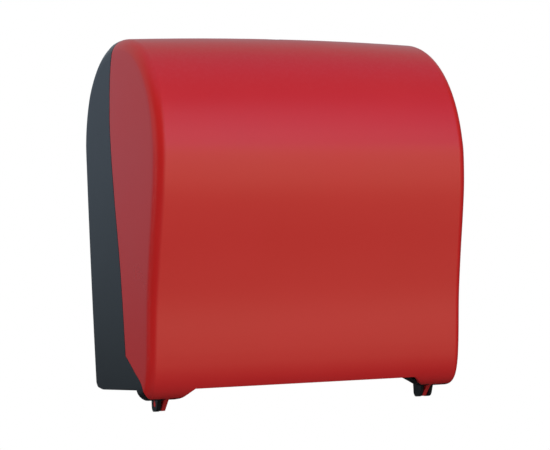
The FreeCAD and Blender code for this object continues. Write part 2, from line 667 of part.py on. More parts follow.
# Toothed blade riveted to a carrier that swings on two pins, with the lever and roller that drive it
def knife_parts():
    direction = (math.sin(math.radians(52.3)), -math.cos(math.radians(52.3)))
    tip = (35.0, 0.0)

    def along(s, off):
        u = tip[0] - direction[0] * s + direction[1] * off
        v = tip[1] - direction[1] * s - direction[0] * off
        return u, v

    ledge = [along(11.5, 0.0), along(16.5, 0.0), (17.5, 4.0), (14.8, -22.0), (21.0, -22.0), (23.4, 3.0),
             along(11.5, 3.0)]
    carrier = local_plate(ledge, -96, 96).fuse(local_rod(4.2, -96, 96, knife_u, knife_v)).removeSplitter()
    for side in (-1, 1):
        carrier = carrier.cut(local_rod(2.5, *span(side, 84, 96), knife_u, knife_v))
    rivets = []
    for x in rivet_x:
        e0, h0 = drum_point(*along(14.0, -1.0))
        e1, h1 = drum_point(*along(14.0, 2.0))
        axis = (point(x, e1, h1) - point(x, e0, h0)).normalize()
        carrier = carrier.cut(Part.makeCylinder(1.4, 3.6, point(x, e0, h0), axis))
        rivets.append(screw(1.4, 3.2, 2.3, 0.7, x, e0, h0, axis))
    save("knife_carrier", carrier)
    pitch = knife_length / knife_teeth
    end = knife_length / 2
    outline = []
    for i in range(knife_teeth):
        outline.append((pitch * i - end, 3.0))
        outline.append((pitch * (i + 0.5) - end, 0.0))
    outline.extend([(end, 3.0), (end, 16.5), (-end, 16.5)])
    corners = []
    for x, s in outline:
        e, h = drum_point(*along(s, 0.0))
        corners.append(point(x, e, h))
    e0, h0 = drum_point(*along(0, 0.0))
    e1, h1 = drum_point(*along(0, -1.0))
    up = point(0, e1, h1) - point(0, e0, h0)
    blade = Part.Face(Part.makePolygon(corners + [corners[0]])).extrude(up)
    for x in rivet_x:
        e0, h0 = drum_point(*along(14.0, -1.5))
        blade = blade.cut(Part.makeCylinder(1.4, 3.0, point(x, e0, h0), up * -1))
    save("knife_blade", blade)
    save("knife_rivets", Part.makeCompound(rivets))
    left = local_rod(2.5, -107.6, -84, knife_u, knife_v)
    right = local_rod(2.5, 84, 105.6, knife_u, knife_v)
    save("knife_pins", Part.makeCompound([left, right]))
    root = local_rod(4.5, -107.5, -105.5, knife_u, knife_v)
    nose = local_rod(3.4, -107.5, -105.5, 4.0, -27.0)
    link = local_plate([(18.6, -26.4), (3.5, -30.2), (4.4, -23.8), (17.2, -17.7)], -107.5, -105.5)
    lever = fuse([root, nose, link]).cut(local_rod(2.5, -110, -100, knife_u, knife_v))
    lever = lever.fuse(local_rod(1.5, -109.9, -107.5, 4.0, -27.0)).removeSplitter()
    save("knife_lever", lever)
    roller = local_rod(3.6, -109.7, -107.7, 4.0, -27.0).cut(local_rod(1.55, -112, -100, 4.0, -27.0))
    save("cam_roller", roller)
    springs = []
    for x in (-101.5, 96.4):
        e, h = drum_point(knife_u, knife_v)
        springs.append(coil(3.4, 0.8, 1.25, 5.0, point(x, e, h), rightward))
    save("knife_springs", Part.makeCompound(springs))


# Hand feed wheel on the left end of the drum, crank and return spring in their housing on the right
def drive_parts():
    wheel = rod(23.0, -133.5, -120.0, drum_e, drum_h)
    wheel = wheel.makeFillet(1.5, [wheel.Edges[0], wheel.Edges[2]])
    for i in range(16):
        a = math.radians(22.5 * i)
        wheel = wheel.cut(rod(2.6, -140, -110, drum_e + 24.2 * math.cos(a), drum_h + 24.2 * math.sin(a)))
    wheel = wheel.cut(tube(18.5, 10.0, -136, -126.5, drum_e, drum_h))
    wheel = wheel.cut(rod(6.0, -140, -110, drum_e, drum_h))
    save("feed_wheel", wheel)
    reach = math.radians(201.0)
    pin_e = drum_e + 14.0 * math.cos(reach)
    pin_h = drum_h + 14.0 * math.sin(reach)
    crank = rod(19.5, 121.0, 125.0, drum_e, drum_h).fuse(rod(10.5, 119.0, 127.0, drum_e, drum_h))
    crank = crank.fuse(rod(3.0, 125.0, 134.5, pin_e, pin_h)).removeSplitter()
    crank = crank.cut(rod(6.0, 110, 140, drum_e, drum_h))
    save("crank_disc", crank)
    outline = [(26, 36), (26, 112), (134, 112), (134, 36)]
    housing = rounded_plate(outline, [8, 24, 30, 30], 116.0, 141.0)
    inside = [(28, 38), (28, 110), (132, 110), (132, 38)]
    housing = housing.cut(rounded_plate(inside, [6, 22, 28, 28], 115.0, 139.0))
    housing = housing.cut(rounded_plate([(20, 92), (20, 130), (60, 130), (60, 104)], [0, 0, 0, 4], 115, 150))
    post_e, post_h = drum_e + 66.0 * math.cos(reach), drum_h + 66.0 * math.sin(reach)
    housing = housing.fuse(rod(3.0, 126.0, 139.5, post_e, post_h)).removeSplitter()
    save("spring_housing", housing)
    back = point(0, post_e, post_h) - point(0, pin_e, pin_h)
    back.normalize()
    start = point(130.4, pin_e, pin_h)
    wound = coil(4.2, 1.4, 2.0, 20.0, start + back * 16.0, back)
    loops = []
    for centre in (start, point(130.4, post_e, post_h)):
        loops.append(Part.makeTorus(3.9, 0.7, centre, rightward))
    rest = start.distanceToPoint(point(130.4, post_e, post_h))
    loops.append(Part.makeCylinder(0.7, 10.8, start + back * 4.7, back))
    loops.append(Part.makeCylinder(0.7, rest - 4.7 - 36.5, start + back * 36.5, back))
    for distance in (15.4, 36.6):
        loops.append(Part.makeCylinder(4.9, 0.7, start + back * (distance - 0.35), back))
    save("return_spring", Part.makeCompound([wound] + loops))


# Rubber pinch roller above the drum, in two sprung bearing blocks
def pinch_parts():
    blocks = []
    springs = []
    axis = FreeCAD.Vector(0, -math.cos(math.radians(pinch_angle)), math.sin(math.radians(pinch_angle)))
    for side in (-1, 1):
        block = box(*span(side, 112.3, 119), pinch_e - 6, pinch_e + 6, pinch_h - 7, pinch_h + 6)
        lip = box(*span(side, 116.3, 119), pinch_e - 9, pinch_e + 9, pinch_h - 7, pinch_h + 6)
        nose = box(*span(side, 107.0, 112.3), pinch_e - 6, pinch_e + 6, pinch_h - 6, pinch_h + 6)
        block = pinch_turn(fuse([block, lip, nose]))
        blocks.append(block.cut(rod(3.06, -112.0, 112.0, pinch_e, pinch_h)))
        start = point(side * 114.2, pinch_e, pinch_h) + axis * 6.5
        springs.append(coil(1.4, 0.6, 1.3, 13.0, start, axis))
    save("pinch_blocks", Part.makeCompound(blocks))
    save("pinch_springs", Part.makeCompound(springs))
    save("pinch_shaft", rod(3.0, -111.7, 111.7, pinch_e, pinch_h))
    sleeves = []
    for x in (-84, -42, 0, 42, 84):
        sleeve = rod(pinch_radius, x - 14, x + 14, pinch_e, pinch_h)
        sleeve = sleeve.makeFillet(0.8, [sleeve.Edges[0], sleeve.Edges[2]])
        sleeves.append(sleeve.cut(rod(3.0, -130, 130, pinch_e, pinch_h)))
    save("pinch_sleeves", Part.makeCompound(sleeves))


outer_body = body(0.0)
inner_body = body(wall)
save("rear_case", rear_case(outer_body, inner_body))
save("front_cover", front_cover(outer_body, inner_body))
lock_parts(outer_body)
keeper_parts(outer_body, inner_body)
roll_parts()
guide_parts()
module_parts()
drum_parts()
knife_parts()
drive_parts()
pinch_parts()
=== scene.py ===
import math

import bpy
import bmesh
from mathutils import Matrix, Vector
from mathutils.geometry import interpolate_bezier
from mathutils.kdtree import KDTree


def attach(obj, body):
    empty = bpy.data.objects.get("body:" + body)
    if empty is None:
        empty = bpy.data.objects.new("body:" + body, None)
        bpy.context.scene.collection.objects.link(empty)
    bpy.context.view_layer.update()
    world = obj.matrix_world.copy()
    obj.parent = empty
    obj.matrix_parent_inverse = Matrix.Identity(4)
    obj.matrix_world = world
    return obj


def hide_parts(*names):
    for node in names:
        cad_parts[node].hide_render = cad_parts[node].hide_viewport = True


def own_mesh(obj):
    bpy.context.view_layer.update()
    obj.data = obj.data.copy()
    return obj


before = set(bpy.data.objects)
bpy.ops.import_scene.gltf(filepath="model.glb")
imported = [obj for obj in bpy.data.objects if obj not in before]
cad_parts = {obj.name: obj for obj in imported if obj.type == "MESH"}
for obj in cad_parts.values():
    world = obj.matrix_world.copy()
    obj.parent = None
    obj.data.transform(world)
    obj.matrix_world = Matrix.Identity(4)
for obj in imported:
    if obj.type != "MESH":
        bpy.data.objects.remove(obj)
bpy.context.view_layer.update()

# Rear case. One black ABS moulding: a wall plate with soft shoulders, two side walls, a shallow foot with a
# toe at each side, and ears under the toes for the hinge, two on the right and one on the left. Four screws
# behind the roll hold it to the wall, and every other piece hangs on it.
def at(x, e, h):
    """x to the right, e out from the wall, h above the feet, in millimetres; gives metres in the frame."""
    return Vector((x, -e, h - 200.0)) * 0.001


# The side outline, out from the wall and up: back, shoulder, ridge, brow, front, curl and sole.
WALL, FEET, BACK, TOP = 2.8, -1.7, -0.5, 361.3
SHOULDER, SHOULDER_RUN, SHOULDER_RISE, SHOULDER_POWER = 260.3, 88.3, 101.0, 1.1236
RIDGE, BROW, BROW_RUN, BROW_RISE, BROW_POWER = 87.8, 230.7, 132.9, 130.6, 0.9217
FRONT = [(220.7, BROW), (216.6, 200.0), (209.1, 170.0), (197.7, 130.0), (187.8, 90.0), (182.0, 55.0),
         (179.4, 40.0)]
CURL_CORNER, SOLE, LIP_PULL, SOLE_PULL = 171.7, 151.3, 0.72, 0.68


def side_rows():
    """The side outline: over the shoulder and brow and down the front, then curl, underside and heel."""
    over = [(BACK, h) for h in (6.0, 40.0, 110.0, 190.0, 235.0)]
    for i in range(13):
        t = math.radians(7.5 * i)
        e = SHOULDER_RUN * (1 - math.cos(t) ** SHOULDER_POWER) + BACK
        over.append((e, SHOULDER + SHOULDER_RISE * math.sin(t) ** SHOULDER_POWER))
    for i in range(1, 14):
        t = math.radians(90.0 - 90.0 * i / 14)
        e = RIDGE + BROW_RUN * math.cos(t) ** BROW_POWER
        over.append((e, BROW + BROW_RISE * math.sin(t) ** BROW_POWER))
    over += FRONT
    lip, corner, sole = Vector(over[-1]), Vector((CURL_CORNER, FEET)), Vector((SOLE, FEET))
    bend = interpolate_bezier(lip, lip.lerp(corner, LIP_PULL), sole.lerp(corner, SOLE_PULL), sole, 7)
    curl = [tuple(p) for p in bend]
    under = [curl[-1], (110.0, FEET), (60.0, FEET), (8.0, FEET)]
    heel = [under[-1], (3.4, FEET + 1.0), (0.5, FEET + 3.8), (BACK, 6.0)]
    return [over, curl, under, heel]


def smooth_through(points, steps):
    """A smooth line through the points, with that many steps from each to the next."""
    line = []
    for i in range(len(points) - 1):
        p1, p2 = points[i], points[i + 1]
        p0 = points[i - 1] if i else p1 * 2 - p2
        p3 = points[i + 2] if i + 2 < len(points) else p2 * 2 - p1
        for k in range(steps):
            t = k / steps
            line.append(p1 + (p2 - p0) * (0.5 * t) + (p0 * 2 - p1 * 5 + p2 * 4 - p3) * (0.5 * t * t)
                        + (p1 * 3 - p0 - p2 * 3 + p3) * (0.5 * t * t * t))
    return line


# How the sides bow and taper, how the top is crowned, and how the corners are rounded.
HALF_WIDTH, SIDE_BOW, SIDE_TAPER, SIDE_MIDDLE, CROWN = 169.2, 1.1, 0.0256, (90.0, 185.0), 3.3
CORNER, CORNER_GROWTH, FOOT_CORNER, HEEL_CORNER, CORNER_TURN = 7.9, 0.0113, 6.0, 1.5, 74.0


def body_ring(inset, side, turn, spread):
    """One ring of the body. Turn goes round the corner from 0 at the front to 1 at the side and on towards
    2 in the middle of the side, and spread across the front from 0 in the middle to 1 at the corner."""
    rows = side_rows()
    flat = [(r, p) for r, row in enumerate(rows) for p in row[1 if r else 0:]][:-1]
    count = len(flat)
    angle, full_turn = math.radians(CORNER_TURN * min(turn, 1.0)), math.radians(CORNER_TURN)
    moved = []
    for i in range(count):
        before, after = flat[i - 1][1], flat[(i + 1) % count][1]
        de, dh = after[0] - before[0], after[1] - before[1]
        size = math.hypot(de, dh)
        row, (e, h) = flat[i]
        rounding = HEEL_CORNER
        if row < 3:
            full = FOOT_CORNER if row == 2 else CORNER + CORNER_GROWTH * h
            rounding = full * min(max((e - 5.0) / 70.0, 0.2), 1.0)
        rounding = max(rounding - inset * 0.8, 0.6)
        drop = rounding * (1 - math.cos(angle)) / (1 - math.cos(full_turn))
        e += dh / size * (inset + drop)
        h -= de / size * (inset + drop)
        e += (SIDE_MIDDLE[0] - e) * max(turn - 1.0, 0.0)
        h += (SIDE_MIDDLE[1] - h) * max(turn - 1.0, 0.0)
        reach = HALF_WIDTH - SIDE_BOW * (2 * h / TOP - 1) ** 2 - SIDE_TAPER * e * h / TOP
        reach -= inset + rounding * (1 - math.sin(angle) / math.sin(full_turn))
        if not turn:
            h += CROWN * (1 - spread * spread) * min(max((h - SHOULDER) / 91.0, 0.0), 1.0)
        moved.append(at(side * reach * (spread if not turn else 1.0), e, h))
    moved.append(moved[0])
    ring, start = [], 0
    for row in rows:
        ring += smooth_through(moved[start:start + len(row)], 4)
        start += len(row) - 1
    return ring


def rounded(corners, radii):
    """A flat outline with an arc of its own radius at each corner."""
    line = []
    for i, (corner, radius) in enumerate(zip(corners, radii)):
        here = Vector(corner)
        before = (Vector(corners[i - 1]) - here).normalized()
        after = (Vector(corners[(i + 1) % len(corners)]) - here).normalized()
        half = before.angle(after) / 2
        middle = here + (before + after).normalized() * (radius / math.sin(half))
        start, stop = here + before * (radius / math.tan(half)), here + after * (radius / math.tan(half))
        if not radius:
            line.append(corner)
            continue
        for k in range(9):
            turned = (start - middle).normalized().slerp((stop - middle).normalized(), k / 8)
            line.append(tuple(middle + turned * radius))
    return line


def filled(name, corners):
    """A flat face with these corners, drawn from a filled circle."""
    bpy.ops.object.select_all(action="DESELECT")
    bpy.ops.mesh.primitive_circle_add(vertices=len(corners), fill_type="NGON")
    piece = bpy.context.object
    piece.name = name
    for vertex, corner in zip(piece.data.vertices, corners):
        vertex.co = corner
    return piece


def pick_only(piece):
    """Makes this piece the only selected one and the active one."""
    bpy.ops.object.select_all(action="DESELECT")
    bpy.context.view_layer.objects.active = piece
    piece.select_set(True)


def face_out(piece):
    """Merges what lies at one place and turns all faces outwards."""
    pick_only(piece)
    bpy.ops.object.mode_set(mode="EDIT")
    bpy.ops.mesh.select_all(action="SELECT")
    bpy.ops.mesh.remove_doubles(threshold=1e-6)
    bpy.ops.mesh.normals_make_consistent(inside=False)
    bpy.ops.object.mode_set(mode="OBJECT")


def slab(name, corners, push):
    """A solid with a flat outline, pushed out along one direction."""
    piece = filled(name, corners)
    bpy.ops.object.mode_set(mode="EDIT")
    bpy.ops.mesh.select_all(action="SELECT")
    bpy.ops.mesh.extrude_region_move(TRANSFORM_OT_translate={"value": push})
    bpy.ops.object.mode_set(mode="OBJECT")
    face_out(piece)
    return piece


def across(name, outline, x0, x1):
    """A solid with this side outline, from one place across the width to another."""
    return slab(name, [at(x0, e, h) for e, h in outline], at(x1, 0, 0) - at(x0, 0, 0))


def drawn_through(name, rings):
    """A solid drawn out from ring to ring, closed by a flat face at each end."""
    piece = filled(name, rings[0])
    for before, ring in zip(rings[:-1], rings[1:]):
        places = KDTree(len(before))
        for i, corner in enumerate(before):
            places.insert(corner, i)
        places.balance()
        bpy.ops.object.mode_set(mode="EDIT")
        bpy.ops.mesh.select_all(action="DESELECT")
        shape = bmesh.from_edit_mesh(piece.data)
        shape.faces.ensure_lookup_table()
        caps = [face for face in shape.faces if len(face.verts) == len(ring)]
        caps[-1].select = True
        shape.select_flush(True)
        bpy.ops.mesh.extrude_region_move(TRANSFORM_OT_translate={"value": (0, 0, 0)})
        shape = bmesh.from_edit_mesh(piece.data)
        for vertex in shape.verts:
            if vertex.select:
                vertex.co = ring[places.find(vertex.co)[1]]
        bmesh.update_edit_mesh(piece.data)
        bpy.ops.object.mode_set(mode="OBJECT")
    face_out(piece)
    return piece


def body_solid(name, inset):
    """The whole closed body, its skin moved inwards by the inset."""
    corner = [1.85, 1.6, 1.35, 1.15, 1.04] + [1 - k / 8 for k in range(8)]
    spreads = [k / 6 - 1 for k in range(13)]
    rings = [body_ring(inset, -1, turn, 1) for turn in corner]
    rings += [body_ring(inset, 1, 0, spread) for spread in spreads]
    rings += [body_ring(inset, 1, turn, 1) for turn in reversed(corner)]
    return drawn_through(name, rings)


def combine(piece, other, how):
    """Cuts away, joins on or keeps only what the other solid covers, and takes the other one away."""
    pick_only(piece)
    bpy.ops.object.modifier_add(type="BOOLEAN")
    step = piece.modifiers[-1]
    step.operation = how
    step.solver = "EXACT"
    step.object = other
    bpy.ops.object.modifier_apply(modifier=step.name)
    bpy.data.objects.remove(other)


def drum_of(name, radius, start, stop, sides=48):
    """A round rod from one point to another."""
    bpy.ops.object.select_all(action="DESELECT")
    length = (stop - start).length
    turn = Vector((0, 0, 1)).rotation_difference(stop - start).to_euler()
    bpy.ops.mesh.primitive_cylinder_add(vertices=sides, radius=radius * 0.001, depth=length,
                                        location=(start + stop) / 2, rotation=turn)
    piece = bpy.context.object
    piece.name = name
    bpy.ops.object.transform_apply(location=True, rotation=True, scale=True)
    return piece


def block(name, x0, x1, e0, e1, h0, h1):
    """A square-edged solid between two places across, out from the wall and up."""
    return across(name, [(e0, h0), (e1, h0), (e1, h1), (e0, h1)], x0, x1)


def pair(side, near, far):
    """Two places across on one side, the lower one first."""
    return sorted((side * near, side * far))


def soften(piece, width):
    """Rounds every moulded edge a little and shades the faces by their size."""
    pick_only(piece)
    bpy.ops.object.modifier_add(type="BEVEL")
    bevel = piece.modifiers[-1]
    bevel.limit_method = "ANGLE"
    bevel.angle_limit = math.radians(38.0)
    bevel.width = width * 0.001
    bevel.segments = 2
    bevel.use_clamp_overlap = False
    bpy.ops.object.modifier_apply(modifier=bevel.name)
    bpy.ops.object.shade_smooth_by_angle(angle=math.radians(44.0))
    bpy.ops.object.modifier_add(type="WEIGHTED_NORMAL")
    weigh = piece.modifiers[-1]
    weigh.keep_sharp = True
    bpy.ops.object.modifier_apply(modifier=weigh.name)


# The toes at the foot of the case, the edge and top of its floor, and the shoulders of the foot arch.
TOE_BACK, TOE_FRONT, TOE_SIDE, FLOOR_EDGE, FLOOR_TOP = 135.2, 157.0, 117.5, 119, 13.9
ARCH_SHOULDER = [(134.5, 0.0), (129.38, 1.3), (123.94, 5.39), (118.5, 9.3)]


def parting_line(shift):
    """Where the cover meets the case, from above the top down to the underside of the foot."""
    upper = [(118.0, 392.0), (109.5, 376.0), (103.0, 362.5), (97.2, 351.6), (89.3, 333.3), (84.5, 305.4),
             (82.2, 273.3), (84.4, 240.4), (90.2, 194.5), (98.4, 140.1), (102.8, 89.0), (104.9, 43.1)]
    lower = [upper[-1], (131.4, 26.6), (147.2, 17.1), (152.8, 11.5), (TOE_FRONT, 4.9), (TOE_FRONT, -3.0)]
    line = []
    for row in (upper, lower):
        line += smooth_through([at(-200, e + shift, h) for e, h in row], 6)
    return line + [at(-200, TOE_FRONT + shift, -3.0)]


def case_side(shift):
    """All the room on the case's side of that line."""
    corners = parting_line(shift)
    corners += [at(-200, TOE_FRONT + shift, -40), at(-200, -40, -40), at(-200, -40, 392)]
    return slab("case_side", corners, at(200, 0, 0) - at(-200, 0, 0))


def foot_arch(e0, e1):
    """The low arch between two feet, with a soft shoulder at each end."""
    start, run = ARCH_SHOULDER[0][0], [(x, FEET + rise) for x, rise in ARCH_SHOULDER]
    left = smooth_through([at(-x, e1, h) for x, h in run], 6) + [at(-run[-1][0], e1, run[-1][1])]
    right = smooth_through([at(x, e1, h) for x, h in reversed(run)], 6) + [at(start, e1, FEET)]
    return slab("foot_arch", left + right + [at(start, e1, -60), at(-start, e1, -60)],
                at(0, e0, 0) - at(0, e1, 0))


def twin(piece, name):
    """The same piece again, with its own mesh."""
    copy = piece.copy()
    copy.data = piece.data.copy()
    copy.name = name
    bpy.context.scene.collection.objects.link(copy)
    return copy


def new_effect(name, inputs, outputs):
    """An empty node group with its numbers in and its values out."""
    group = bpy.data.node_groups.new(name, "ShaderNodeTree")
    for label, value in inputs:
        socket = group.interface.new_socket(label, in_out="INPUT", socket_type="NodeSocketFloat")
        socket.default_value = value
    for label in outputs:
        group.interface.new_socket(label, in_out="OUTPUT", socket_type="NodeSocketFloat")
    return group, group.nodes.new("NodeGroupInput"), group.nodes.new("NodeGroupOutput")


def noise(tree, vector, detail, roughness):
    """A cloudy or grainy pattern that reads this vector."""
    node = tree.nodes.new("ShaderNodeTexNoise")
    node.inputs["Detail"].default_value = detail
    node.inputs["Roughness"].default_value = roughness
    tree.links.new(vector, node.inputs["Vector"])
    return node


def spread_to(tree, value, low, high, to_low=0.0, to_high=1.0):
    """A value between two limits, spread to two others."""
    node = tree.nodes.new("ShaderNodeMapRange")
    for label, number in (("From Min", low), ("From Max", high), ("To Min", to_low), ("To Max", to_high)):
        node.inputs[label].default_value = number
    tree.links.new(value, node.inputs["Value"])
    return node.outputs["Result"]


# What every moulding shares: a spark-eroded grain, a slow unevenness from the cooling, fine handling
# scratches and a little settled dust on what faces up.
moulded, moulded_in, moulded_out = new_effect(
    "moulded_skin", [("Grain Scale", 900.0), ("Flow Scale", 9.0), ("Scratch Scale", 160.0)],
    ["Grain", "Flow", "Scratches", "Dust"])
place = moulded.nodes.new("ShaderNodeTexCoord")
grain = noise(moulded, place.outputs["Object"], 2.0, 0.6)
moulded.links.new(moulded_in.outputs["Grain Scale"], grain.inputs["Scale"])
flow = noise(moulded, place.outputs["Object"], 3.0, 0.5)
moulded.links.new(moulded_in.outputs["Flow Scale"], flow.inputs["Scale"])
drawn = moulded.nodes.new("ShaderNodeMapping")
drawn.inputs["Scale"].default_value = (1.0, 6.0, 9.0)
drawn.inputs["Rotation"].default_value = (0.3, 0.5, 0.2)
moulded.links.new(place.outputs["Object"], drawn.inputs["Vector"])
scratch = noise(moulded, drawn.outputs["Vector"], 6.0, 0.7)
scratch.inputs["Distortion"].default_value = 0.4
moulded.links.new(moulded_in.outputs["Scratch Scale"], scratch.inputs["Scale"])
facing = moulded.nodes.new("ShaderNodeSeparateXYZ")
moulded.links.new(place.outputs["Normal"], facing.inputs["Vector"])
specks = noise(moulded, place.outputs["Object"], 4.0, 0.75)
specks.inputs["Scale"].default_value = 260.0
settled = moulded.nodes.new("ShaderNodeMath")
settled.operation = "MULTIPLY"
moulded.links.new(spread_to(moulded, facing.outputs["Z"], 0.35, 1.0), settled.inputs[0])
moulded.links.new(spread_to(moulded, specks.outputs["Fac"], 0.45, 0.75), settled.inputs[1])
moulded.links.new(grain.outputs["Fac"], moulded_out.inputs["Grain"])
moulded.links.new(flow.outputs["Fac"], moulded_out.inputs["Flow"])
moulded.links.new(spread_to(moulded, scratch.outputs["Fac"], 0.62, 0.74), moulded_out.inputs["Scratches"])
moulded.links.new(settled.outputs["Value"], moulded_out.inputs["Dust"])


def blend_colours(tree, share, first, second):
    """The first colour, with this share of the second."""
    node = tree.nodes.new("ShaderNodeMix")
    node.data_type = "RGBA"
    for socket, colour in ((node.inputs[6], first), (node.inputs[7], second)):
        if isinstance(colour, tuple):
            socket.default_value = (*colour, 1.0)
        else:
            tree.links.new(colour, socket)
    tree.links.new(share, node.inputs["Factor"])
    return node.outputs[2]


def scaled(tree, value, factor):
    """A value times a number."""
    node = tree.nodes.new("ShaderNodeMath")
    node.operation = "MULTIPLY"
    node.inputs[1].default_value = factor
    tree.links.new(value, node.inputs[0])
    return node.outputs["Value"]


def moulded_plastic(name, colour, pale, roughness, grain_scale=900.0, grain_depth=0.00003, dust=0.15,
                    shine=0.5):
    """A moulded plastic: its colour, the paler one that it varies to, and how rough its skin is."""
    finish = bpy.data.materials.new(name)
    finish.use_nodes = True
    tree = finish.node_tree
    shader = tree.nodes["Principled BSDF"]
    shader.inputs["Specular IOR Level"].default_value = shine
    skin = tree.nodes.new("ShaderNodeGroup")
    skin.node_tree = moulded
    skin.inputs["Grain Scale"].default_value = grain_scale
    uneven = spread_to(tree, skin.outputs["Flow"], 0.1, 0.9, 0.0, 0.8)
    tone = blend_colours(tree, uneven, colour, pale)
    tone = blend_colours(tree, spread_to(tree, skin.outputs["Grain"], 0.3, 0.7, 0.0, 0.4), tone, pale)
    tone = blend_colours(tree, scaled(tree, skin.outputs["Scratches"], 0.06), tone, pale)
    tone = blend_colours(tree, scaled(tree, skin.outputs["Dust"], dust), tone, (0.45, 0.43, 0.4))
    tree.links.new(tone, shader.inputs["Base Color"])
    rough = tree.nodes.new("ShaderNodeMath")
    rough.operation = "ADD"
    tree.links.new(spread_to(tree, skin.outputs["Flow"], 0.1, 0.9, roughness - 0.05, roughness + 0.06),
                   rough.inputs[0])
    tree.links.new(scaled(tree, skin.outputs["Scratches"], 0.04), rough.inputs[1])
    tree.links.new(rough.outputs["Value"], shader.inputs["Roughness"])
    bump = tree.nodes.new("ShaderNodeBump")
    bump.inputs["Distance"].default_value = grain_depth
    bump.inputs["Strength"].default_value = 0.6
    tree.links.new(skin.outputs["Grain"], bump.inputs["Height"])
    tree.links.new(bump.outputs["Normal"], shader.inputs["Normal"])
    return finish


def finish_with(piece, finish, body):
    """Gives a piece its one material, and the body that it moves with."""
    piece.data.materials.clear()
    piece.data.materials.append(finish)
    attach(piece, body)


case_abs = moulded_plastic("case_black_abs", (0.008, 0.009, 0.010), (0.012, 0.013, 0.015), 0.24,
                           dust=0.06, shine=0.4)
case_ears = ((-150.0, -146.0), (136.7, 139.7), (146.0, 150.0))
ear_outline = rounded([(125.2, 12.0), (125.2, -12.9), (139.5, -12.9), (144.9, -2.0), (144.9, 12.0)],
                      [0, 5.0, 7.0, 0, 0])
heel_outside = [(TOE_BACK, 8.8), (22.0, 10.7), (4.6, 13.6), (0, 19.2)]
heel_inside = [(-5, 10), (22.0, 10), (22.0, 13.7), (6.6, 16.4), (2.3, 21.7), (-5, 21.7)]
hinge = (134, -5.5)
wall_screw_x, wall_screw_heights, wall_screw_radius = 85, (258.0, 142.0), 2.75
unit_screw_x, unit_screw_heights = 105, (37.0, 103.0)
arm_pin_x, arm_pin_e, knuckle_heights = 115, 14, (230.6, 267.4)
keeper_screw_x, keeper_screw_e = (27.0, 35.0), 74

outer_body = body_solid("outer_body", 0.0)
inner_body = body_solid("inner_body", WALL)
rear_case = twin(outer_body, "rear_case_moulding")
combine(rear_case, case_side(0.0), "INTERSECT")
hollow = twin(inner_body, "hollow")
combine(hollow, block("floor", -200, 200, -5, FLOOR_EDGE, -40, FLOOR_TOP), "DIFFERENCE")
for side in (-1, 1):
    toe = block("toe", *pair(side, TOE_SIDE, 200), FLOOR_EDGE - 1, 180, -40, FLOOR_TOP)
    combine(hollow, toe, "DIFFERENCE")
combine(hollow, across("heel_inside", heel_inside, -200, 200), "DIFFERENCE")
combine(rear_case, hollow, "DIFFERENCE")
around = rounded(heel_outside + [(0, 420), (-20, 420), (-20, -40), (170, -40), (170, -1.8), (145.4, -1.8)],
                 [0, 60.0, 9.0, 9.0, 0, 0, 0, 0, 0, 4.0])
combine(rear_case, across("relief", around, -200, 200), "DIFFERENCE")
combine(rear_case, block("gap", -TOE_SIDE, TOE_SIDE, FLOOR_EDGE, 200, -40, 60), "DIFFERENCE")
combine(rear_case, foot_arch(TOE_BACK - 1, 200), "DIFFERENCE")
for x0, x1 in case_ears:
    combine(rear_case, across("ear", ear_outline, x0, x1), "UNION")
for side in (-1, 1):
    x = side * wall_screw_x
    for h in wall_screw_heights:
        combine(rear_case, drum_of("seat", 8.0, at(x, 7, h), at(x, 2, h)), "UNION")
    x = side * unit_screw_x
    for h in unit_screw_heights:
        combine(rear_case, drum_of("boss", 5.5, at(x, 16, h), at(x, 2, h)), "UNION")
    combine(rear_case, block("rib", side * 60 - 1.2, side * 60 + 1.2, 2, 8, 40, 264), "UNION")
    x = side * arm_pin_x
    for low in knuckle_heights:
        knuckle = drum_of("knuckle", 6.0, at(x, arm_pin_e, low), at(x, arm_pin_e, low + 7))
        combine(knuckle, block("web", x - 6, x + 6, 2, arm_pin_e, low, low + 7), "UNION")
        combine(rear_case, knuckle, "UNION")
for side in (-1, 1):
    combine(rear_case, block("slot", *pair(side, 139.7, 146.0), 124.4, 165, -20, 6.5), "DIFFERENCE")
    bore = drum_of("bore", 3.06, at(side * 145, *hinge), at(side * 152, *hinge))
    combine(rear_case, bore, "DIFFERENCE")
    x = side * wall_screw_x
    for h in wall_screw_heights:
        combine(rear_case, drum_of("hole", wall_screw_radius, at(x, 12, h), at(x, -8, h)), "DIFFERENCE")
        bpy.ops.object.select_all(action="DESELECT")
        bpy.ops.mesh.primitive_cone_add(vertices=48, radius1=0.0054, radius2=0.00275, depth=0.0027,
                                        location=at(x, 5.71, h), rotation=(-math.pi / 2, 0, 0))
        sink = bpy.context.object
        bpy.ops.object.transform_apply(location=True, rotation=True, scale=True)
        combine(rear_case, sink, "DIFFERENCE")
    x = side * unit_screw_x
    for h in unit_screw_heights:
        combine(rear_case, drum_of("pilot", 1.9, at(x, 16.1, h), at(x, 5.1, h), 24), "DIFFERENCE")
    x = side * arm_pin_x
    pin_hole = drum_of("pin_hole", 2.5, at(x, arm_pin_e, 226), at(x, arm_pin_e, 286), 32)
    combine(rear_case, pin_hole, "DIFFERENCE")
for x in keeper_screw_x:
    pilot = drum_of("pilot", 1.6, at(x, keeper_screw_e, 345), at(x, keeper_screw_e, 363), 24)
    combine(rear_case, pilot, "DIFFERENCE")
soften(rear_case, 0.35)
finish_with(rear_case, case_abs, "case")
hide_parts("rear_case")

# Lock keeper. A small zinc-plated steel hook, bent up from strip and held under the top of the case by two
# screws; the tongue of the lock turns behind it.


